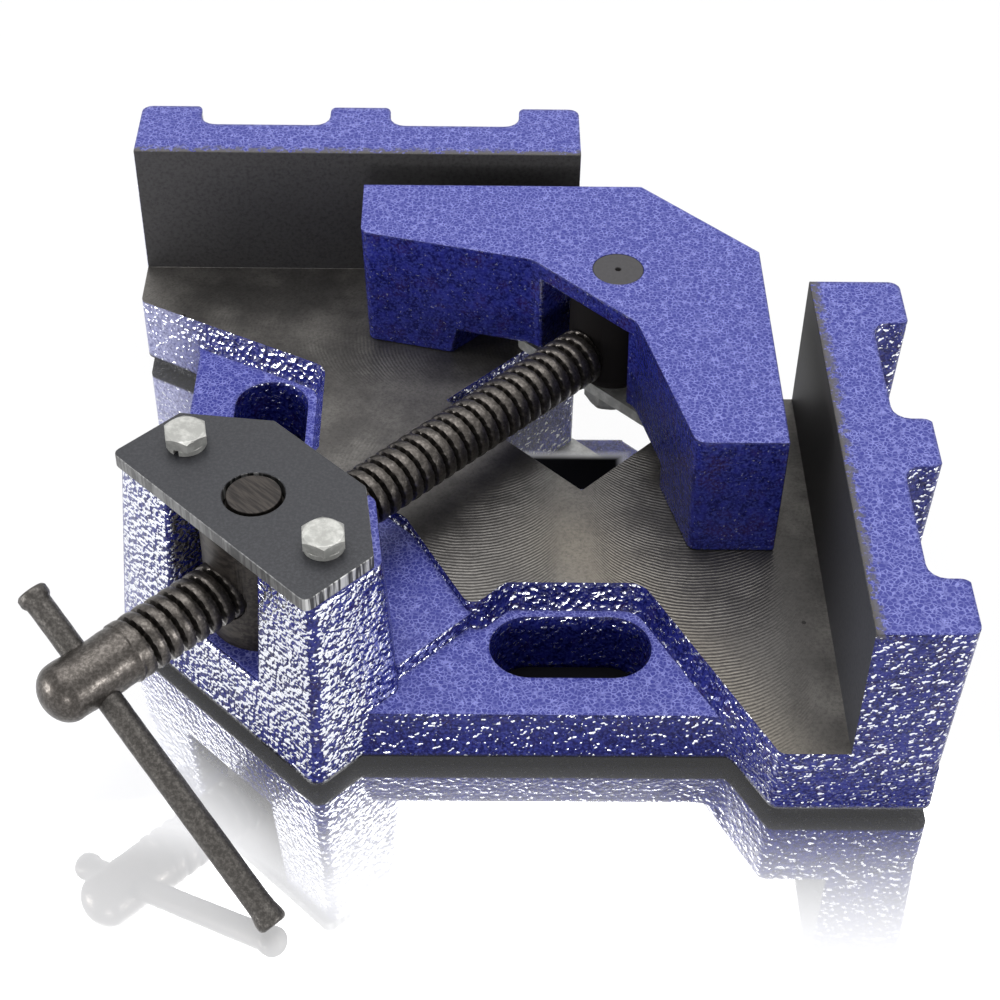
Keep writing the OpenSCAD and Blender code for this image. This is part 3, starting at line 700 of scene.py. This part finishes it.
# %% Sizes of the screw
PITCH = 4 * MM
SCREW_R = 8 * MM
HEAD_R = 7.6 * MM
HEAD_X = -42.8 * MM
HEAD_END_X = -60.0 * MM
DOME = 6 * MM
THREAD_END_X = PIVOT_X - 13.1 * MM
JOURNAL_R = 5.8 * MM
GROOVE_R = 4.2 * MM
GROOVE_HALF = 1.58 * MM
JOURNAL_END_X = PIVOT_X + 9 * MM
DOWEL_X = PIVOT_X + 3 * MM
TURNS = 96
CREST_SHARE = 0.66
FLANK_SHARE = 0.09
DEPTH = 2.1 * MM
ROUNDING = 0.16 * MM


# %% Head, thread and journal
def head_rows():
    """Quarter ellipse for the dome, then a straight stretch with shallow dents."""
    quarter = np.linspace(0.02, np.pi / 2, 14)
    dome = np.stack([HEAD_END_X - DOME * np.cos(quarter), HEAD_R * np.sin(quarter)], -1)
    straight = np.linspace(HEAD_END_X + 1.2 * MM, HEAD_X - 0.3 * MM, 14)
    shank = np.stack([straight, np.full_like(straight, HEAD_R)], -1)
    along, radii = bare_radii(np.vstack([dome, shank]), TURNS)
    angle = round_angles(TURNS)
    dents = np.sin(along[:, None] * 900 + 2 * angle) * np.cos(3 * angle + 1)
    return along, radii + 0.09 * MM * dents * smooth((along - HEAD_END_X)[:, None] / (2 * MM))


def thread_rows():
    """Radius of the crest, less the groove's depth where the phase says so."""
    along = np.arange(HEAD_X, THREAD_END_X, PITCH / 16)
    phase = (along[:, None] / PITCH - round_angles(TURNS) / (2 * np.pi)) % 1.0
    off_crest = np.abs(phase - 0.5)
    groove = smooth((off_crest - CREST_SHARE / 2) / FLANK_SHARE)
    shoulder = smooth((off_crest - 0.10) / 0.22)
    run_out = smooth((along - HEAD_X - 0.5 * MM) / (3 * MM))[:, None]
    return along, SCREW_R - 0.03 * MM - (DEPTH * groove + ROUNDING * shoulder) * run_out


def journal_rows():
    """Journal with the groove that the dowel sits in."""
    step = 0.01 * MM
    return bare_radii([
        (THREAD_END_X, SCREW_R - 1 * MM), (THREAD_END_X + step, JOURNAL_R),
        (DOWEL_X - GROOVE_HALF - step, JOURNAL_R), (DOWEL_X - GROOVE_HALF, GROOVE_R),
        (DOWEL_X + GROOVE_HALF, GROOVE_R), (DOWEL_X + GROOVE_HALF + step, JOURNAL_R),
        (JOURNAL_END_X - 1 * MM, JOURNAL_R), (JOURNAL_END_X, JOURNAL_R - 1 * MM),
    ], TURNS)


# %% The screw
stretches = [head_rows(), thread_rows(), journal_rows()]
screw_along = np.concatenate([rows[0] for rows in stretches])
screw_radii = np.concatenate([rows[1] for rows in stretches])
screw_mesh = turned_mesh("screw", screw_along, screw_radii, SCREW_FRAME @ Vector((1, 0, 0)),
                         SCREW_FRAME @ Vector((0, 1, 0)), (0, 0, SCREW_Z))
screw_mesh.materials.append(SCREW_STEEL)
register("screw", screw_mesh, "screw", ("spindle",))

# %% [markdown]
# ## Tommy bar
# A forged rod: its ends were upset with a hammer so that it can't fall out of
# the head, and scale and dents cover it. The same lathe makes it, with waves
# of dents that run both ways round.

# %% The bar
BAR_SLOPE = math.radians(31)
BAR_R = 3.25
BAR_X = HEAD_X - 9.5 * MM
BAR_DOWN = (SCREW_Z - 4 * MM * math.cos(BAR_SLOPE) - 0.08 * MM) / math.sin(BAR_SLOPE)
BAR_UP = BAR_DOWN - 98 * MM
BAR_TURNS = 40

upper_end = [(0.02, 2.6), (0.15, 3.5), (0.7, 3.95), (2.4, 3.95), (3.0, 3.7), (3.6, 3.3)]
lower_end = [(4.6, 3.35), (2.6, 3.75), (1.2, 3.8), (0.5, 3.5), (0.1, 2.8)]
rod = np.linspace(BAR_UP + 5 * MM, BAR_DOWN - 7 * MM, 60)
bar_profile = ([(BAR_UP + d * MM, r * MM) for d, r in upper_end]
               + [(x, BAR_R * MM) for x in rod]
               + [(BAR_DOWN - d * MM, r * MM) for d, r in lower_end])
bar_along, bar_radii = bare_radii(bar_profile, BAR_TURNS)
around = round_angles(BAR_TURNS)
dents = (np.sin(bar_along[:, None] * 700 + 3 * around)
         * np.sin(bar_along[:, None] * 390 - 2 * around + 1.0))
bar_radii = bar_radii - 0.035 * MM * (1 + dents)
bar_axis = SCREW_FRAME @ Vector((0, -math.cos(BAR_SLOPE), -math.sin(BAR_SLOPE)))
bar_mesh = turned_mesh("bar", bar_along, bar_radii, bar_axis, SCREW_FRAME @ Vector((1, 0, 0)),
                       (SCREW_FRAME @ Vector((BAR_X, 0, 0))) + Vector((0, 0, SCREW_Z)))
bar_mesh.materials.append(BAR_STEEL)
register("bar", bar_mesh, "bar", ("tommy_bar",))

# %% [markdown]
# ## Floor
# The clamp stands on white gloss. Its mirror image is strong at the foot and
# fades with the distance from it, so the share of mirror falls off with the
# distance in front of the clamp's outline. The white itself is the floor's own
# colour and a glow that only the camera and reflections see, which leaves the
# object's light alone. Under the ears and in front of the deck's slot the floor
# is painted near black, with no glow and no mirror: a painted shadow.


# %% Floor and its finish
def is_seen(g):
    """One for rays from the camera, from gloss and through glass."""
    path = g.node("LightPath")
    seen = g.math("MAXIMUM", path.outputs["Is Camera Ray"], path.outputs["Is Glossy Ray"])
    return g.math("MAXIMUM", seen, path.outputs["Is Transmission Ray"])


def mirror_share(g):
    """Share of mirror: a bell curve of the distance in front of the clamp's
    outline, and a faint patch under the bar."""
    x, y, _ = g.axes(g.place)
    block_side = 15 * MM
    foot = g.math("ADD", g.step(x, 95 * MM, 120 * MM, -31 * MM, -46 * MM),
                  g.step(x, block_side, 24 * MM, -10 * MM, 0.0))
    slant = g.math("MAXIMUM", g.math("SUBTRACT", block_side, x), 0.0)
    front = g.math("SUBTRACT", g.math("ADD", foot, slant), y)
    away = g.math("DIVIDE", g.math("MAXIMUM", front, 0.0), 27 * MM)
    bell = g.math("EXPONENT", g.math("MULTIPLY", g.math("MULTIPLY", away, away), -1.0))
    dx = g.math("DIVIDE", g.math("ADD", x, 30 * MM), 55 * MM)
    dy = g.math("DIVIDE", g.math("ADD", y, 85 * MM), 32 * MM)
    round_bar = g.math("ADD", g.math("MULTIPLY", dx, dx), g.math("MULTIPLY", dy, dy))
    under_bar = g.step(round_bar, 0.5, 1.5, 0.40, 0.0)
    share = g.math("MAXIMUM", g.math("MULTIPLY", bell, 0.93), under_bar)
    return g.math("MULTIPLY", share, outside_shadow_patches(g))


def floor_finish():
    """Pale colour and glow, mixed with a mirror by its share. In the patches of
    painted shadow the colour is near black, with no glow and no mirror.
    """
    g = Graph("pale_gloss")
    # Painted shadow: near black in the shadow patches, pale elsewhere.
    pale_colour = g.mix(outside_shadow_patches(g), (0.01, 0.01, 0.012), (0.56, 0.56, 0.57))
    diffuse = g.node("BsdfDiffuse", Color=pale_colour)
    visible = g.math("MULTIPLY", is_seen(g), g.math("MULTIPLY", outside_shadow_patches(g), 0.62))
    glow = g.node("Emission", Color=(1, 1, 1, 1), Strength=visible)
    gloss = g.node("BsdfGlossy", Color=(1.0, 1.0, 1.0, 1.0), Roughness=0.03)
    pale = g.node("AddShader")
    g.put(pale, 0, diffuse.outputs[0])
    g.put(pale, 1, glow.outputs[0])
    mix = g.node("MixShader", Fac=mirror_share(g))
    g.put(mix, 1, pale.outputs[0])
    g.put(mix, 2, gloss.outputs[0])
    g.tree.links.new(mix.outputs[0], g.out.inputs[0])
    return g.material


# %% The floor
FLOOR_HALF = 3.0
corners = [(-FLOOR_HALF, -FLOOR_HALF, 0), (FLOOR_HALF, -FLOOR_HALF, 0),
           (FLOOR_HALF, FLOOR_HALF, 0), (-FLOOR_HALF, FLOOR_HALF, 0)]
floor_mesh = bpy.data.meshes.new("floor")
floor_mesh.from_pydata(corners, [], [(0, 1, 2, 3)])
floor_mesh.materials.append(floor_finish())
floor = bpy.data.objects.new("floor", floor_mesh)
bpy.context.scene.collection.objects.link(floor)
print("floor is", 2 * FLOOR_HALF, "m wide")

# %% [markdown]
# ## Light
# One broad lamp overhead lights the tops at a plain level. Three small lamps
# stand low around the clamp: they add little light, and the wet-looking enamel's
# painted glints, which are metallic, reflect them, as enamel does a
# photographer's strip lights.


# %% Lamps
MIDDLE = Vector((0.06, 0.06, 0.03))


def lamp(name, place, size, watts):
    """Rectangular lamp at a place, aimed at the clamp's middle."""
    data = bpy.data.lights.new(name, "AREA")
    data.shape = "RECTANGLE"
    data.size, data.size_y = size
    data.energy = watts
    light = bpy.data.objects.new(name, data)
    light.location = place
    aim = MIDDLE - Vector(place)
    light.rotation_euler = aim.to_track_quat("-Z", "Y").to_euler()
    bpy.context.scene.collection.objects.link(light)


lamp("overhead", (0.05, 0.25, 1.0), (1.1, 0.9), 8.2)
lamp("left_strip", (-0.95, -0.25, 0.16), (0.40, 0.22), 5.5)
lamp("front_strip", (-0.05, -1.10, 0.20), (0.26, 0.14), 2.8)
lamp("right_strip", (0.98, -0.42, 0.16), (0.28, 0.20), 3.8)

# %% Surroundings
world = bpy.data.worlds.new("studio")
bpy.context.scene.world = world
world.use_nodes = True
tree = world.node_tree
tree.nodes.clear()
path = tree.nodes.new("ShaderNodeLightPath")
seen = [path.outputs["Is Camera Ray"], path.outputs["Is Glossy Ray"], path.outputs["Is Transmission Ray"]]
either = seen[0]
for ray in seen[1:]:
    larger = tree.nodes.new("ShaderNodeMath")
    larger.operation = "MAXIMUM"
    tree.links.new(either, larger.inputs[0])
    tree.links.new(ray, larger.inputs[1])
    either = larger.outputs[0]
around_light = tree.nodes.new("ShaderNodeBackground")
around_light.inputs["Color"].default_value = (0.93, 0.95, 1.0, 1.0)
around_light.inputs["Strength"].default_value = 0.24
white = tree.nodes.new("ShaderNodeBackground")
white.inputs["Color"].default_value = (1, 1, 1, 1)
choose = tree.nodes.new("ShaderNodeMixShader")
world_out = tree.nodes.new("ShaderNodeOutputWorld")
tree.links.new(either, choose.inputs[0])
tree.links.new(around_light.outputs[0], choose.inputs[1])
tree.links.new(white.outputs[0], choose.inputs[2])
tree.links.new(choose.outputs[0], world_out.inputs[0])
bpy.context.scene.view_settings.view_transform = "Standard"
print("lamps:", len(bpy.data.lights))

# %% [markdown]
# ## Camera
# The view was worked out from the clamp's own right angles. A camera's frame
# is three directions: forward, right and up, each turned by pitch, yaw and
# roll, and its matrix holds right, up and backward as columns.

# %% Camera
CAMERA_PLACE = (52.6 * MM, -360.8 * MM, 404.5 * MM)
PITCH_DOWN, YAW, ROLL = 0.7564, 0.0195, 0.0199
FOCAL_PIXELS, IMAGE_PIXELS, SENSOR = 2044.2, 1000, 36

forward = Vector((math.sin(YAW) * math.cos(PITCH_DOWN), math.cos(YAW) * math.cos(PITCH_DOWN),
                  -math.sin(PITCH_DOWN)))
level = Vector((math.cos(YAW), -math.sin(YAW), 0))
upright = level.cross(forward)
right = math.cos(ROLL) * level + math.sin(ROLL) * upright
up = math.cos(ROLL) * upright - math.sin(ROLL) * level
camera_data = bpy.data.cameras.new("camera")
camera_data.lens = FOCAL_PIXELS / IMAGE_PIXELS * SENSOR
camera_data.sensor_width = SENSOR
camera_data.sensor_fit = "HORIZONTAL"
camera_data.clip_start = 0.01
camera = bpy.data.objects.new("camera", camera_data)
bpy.context.scene.collection.objects.link(camera)
turned = Matrix((right, up, -forward)).transposed().to_4x4()
turned.translation = CAMERA_PLACE
camera.matrix_world = turned
bpy.context.scene.camera = camera
print("lens", round(camera_data.lens, 1), "mm")

# %% Finish
bpy.context.view_layer.update()
